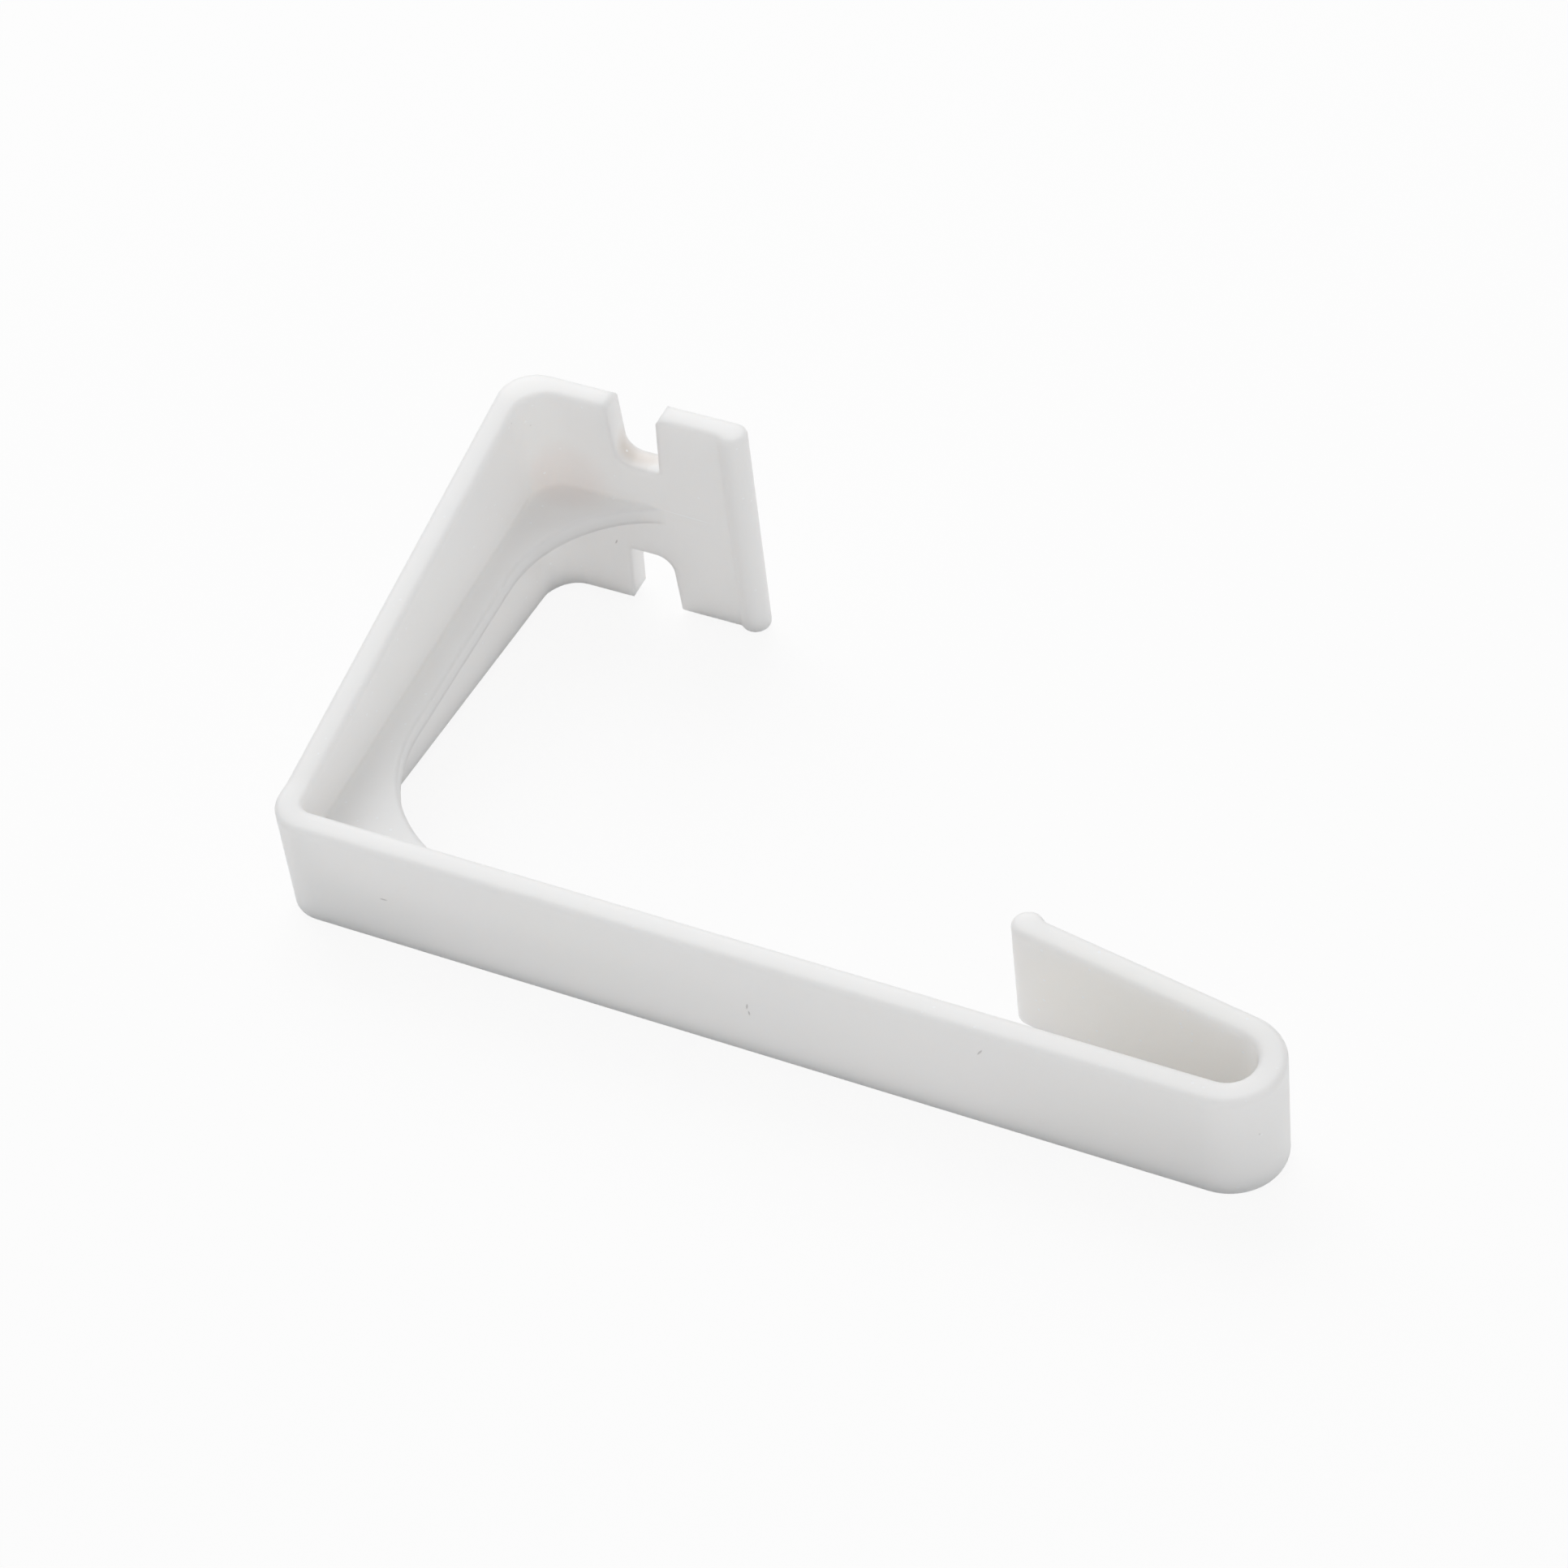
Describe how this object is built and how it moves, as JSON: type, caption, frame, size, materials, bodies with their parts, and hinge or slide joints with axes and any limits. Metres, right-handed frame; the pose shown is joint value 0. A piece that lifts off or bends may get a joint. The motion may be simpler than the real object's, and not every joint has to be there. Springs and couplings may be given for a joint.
{
  "type": "curtain retainer clip",
  "caption": "C-shaped plastic curtain clip: a long flat arm ending in a sprung hook, a flared side wall with an inner web, and a wide tab with a twist-lock neck for a track slot.",
  "frame": {"origin": "centre of the twist-lock neck, on the back face of the tab, at mid-width of the strip", "axes": "+X along the front arm towards the hook, +Y from the front arm to the tab and out of the tab's back, +Z across the strip"},
  "size_m": [0.0813, 0.0462, 0.0212],
  "materials": {
    "clip_plastic": "satin"
  },
  "bodies": {
    "root": {"retainer_clip": "clip_plastic"}
  },
  "joints": []
}
